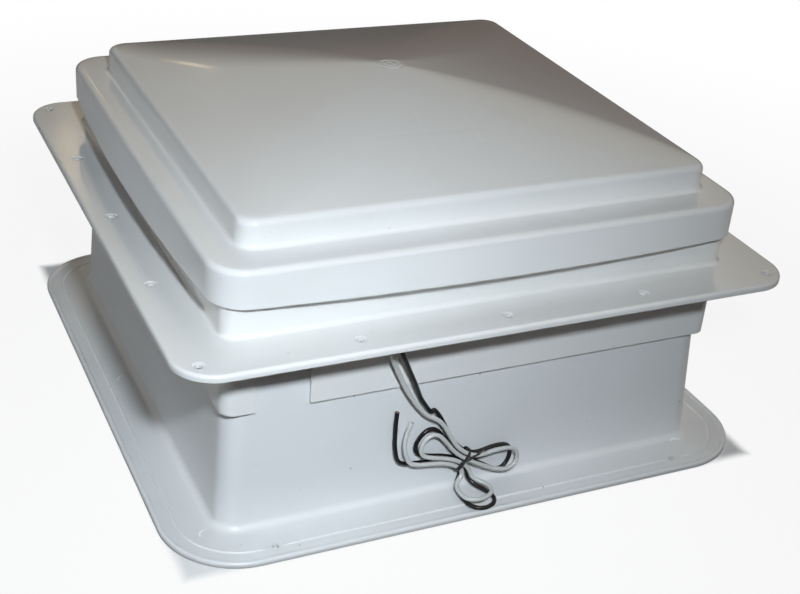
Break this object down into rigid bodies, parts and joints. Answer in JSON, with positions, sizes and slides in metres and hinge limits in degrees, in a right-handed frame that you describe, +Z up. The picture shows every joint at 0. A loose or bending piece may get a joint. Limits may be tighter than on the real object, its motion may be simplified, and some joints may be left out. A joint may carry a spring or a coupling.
{
  "type": "caravan roof vent",
  "caption": "Square caravan roof vent: hinged domed lid raised by a worm-driven arm, roof flange with neck and skirt, extractor fan, insect screen, inner garnish and tied supply leads.",
  "frame": {"origin": "middle of the garnish, on its lower face", "axes": "+Z up through the roof to the lid's apex, -Y the front where the leads come out, +Y the hinge side, +X the lift side"},
  "size_m": [0.424, 0.4242, 0.236],
  "materials": {
    "lid_plastic": "glossy white moulded plastic",
    "base_plastic": "warm white moulded plastic with a soft sheen",
    "garnish_plastic": "satin white plastic, lightly scuffed",
    "seal_rubber": "black foam rubber",
    "zinc_sheet": "zinc-plated sheet",
    "bright_steel": "plated steel fasteners and shafts",
    "screen_grey": "grey moulded screen",
    "black_plastic": "black moulded plastic",
    "nylon": "natural nylon",
    "brass": "turned brass",
    "lead_white": "white lead insulation",
    "lead_black": "black lead insulation"
  },
  "bodies": {
    "base": {"roof_base": "base_plastic", "inner_garnish": "garnish_plastic", "screen_frame": "base_plastic", "screen_mesh": "screen_grey", "screen_screws": "bright_steel", "motor_bracket": "zinc_sheet", "bracket_screws": "bright_steel", "motor_can": "zinc_sheet", "motor_end_cap": "black_plastic", "motor_screws": "bright_steel", "lift_bracket": "zinc_sheet", "lift_bracket_screws": "bright_steel", "gear_housing": "base_plastic", "gear_cover": "base_plastic", "gear_screws": "bright_steel", "crank_bush": "nylon", "switch_body": "black_plastic", "lead_grommet": "seal_rubber", "lead_white": "lead_white", "lead_black": "lead_black", "hank_white": "lead_white", "hank_black": "lead_black", "hank_tie": "lead_black"},
    "lid": {"lid": "lid_plastic", "lid_seal": "seal_rubber", "lid_hinge_left": "base_plastic", "lid_hinge_right": "base_plastic", "hinge_rivets": "bright_steel", "hinge_pins": "bright_steel", "lid_rail": "zinc_sheet", "rail_rivets": "bright_steel"},
    "arm": {"lift_arm": "zinc_sheet", "arm_shaft": "bright_steel", "worm_wheel": "nylon", "shoe_pin": "bright_steel"},
    "shoe": {"slide_shoe": "nylon"},
    "crank": {"crank_shaft": "bright_steel", "worm": "brass", "crank_knob": "base_plastic", "knob_screw": "bright_steel"},
    "fan": {"fan_rotor": "black_plastic", "motor_shaft": "bright_steel", "fan_clip": "bright_steel"},
    "rocker": {"switch_rocker": "black_plastic"}
  },
  "joints": [
    {"name": "lid_hinge", "type": "hinge", "parent": "base", "child": "lid", "pos_m": [0, 0.19, 0.168], "axis": [-1, 0, 0], "range_deg": [0, 60]},
    {"name": "arm_swing", "type": "hinge", "parent": "base", "child": "arm", "pos_m": [0.143, 0.04134, 0.148], "axis": [-1, 0, 0], "range_deg": [0, 120]},
    {"name": "shoe_pivot", "type": "hinge", "parent": "arm", "child": "shoe", "pos_m": [0.16, -0.10732, 0.168], "axis": [-1, 0, 0], "range_deg": [-60, 0]},
    {"name": "crank_spin", "type": "hinge", "parent": "base", "child": "crank", "pos_m": [0.143, 0.02134, 0.148], "axis": [0, 0, -1], "range_deg": [0, 2880]},
    {"name": "fan_spin", "type": "hinge", "parent": "base", "child": "fan", "pos_m": [0, 0, 0.17], "axis": [0, 0, 1], "continuous": true},
    {"name": "switch_rock", "type": "hinge", "parent": "base", "child": "rocker", "pos_m": [0.143, -0.02466, 0.117], "axis": [-1, 0, 0], "range_deg": [0, 18]}
  ],
  "couplings": [
    {"joint": "arm_swing", "follows": "lid_hinge", "ratio": 2},
    {"joint": "shoe_pivot", "follows": "lid_hinge", "ratio": -1},
    {"joint": "crank_spin", "follows": "lid_hinge", "ratio": 48}
  ]
}
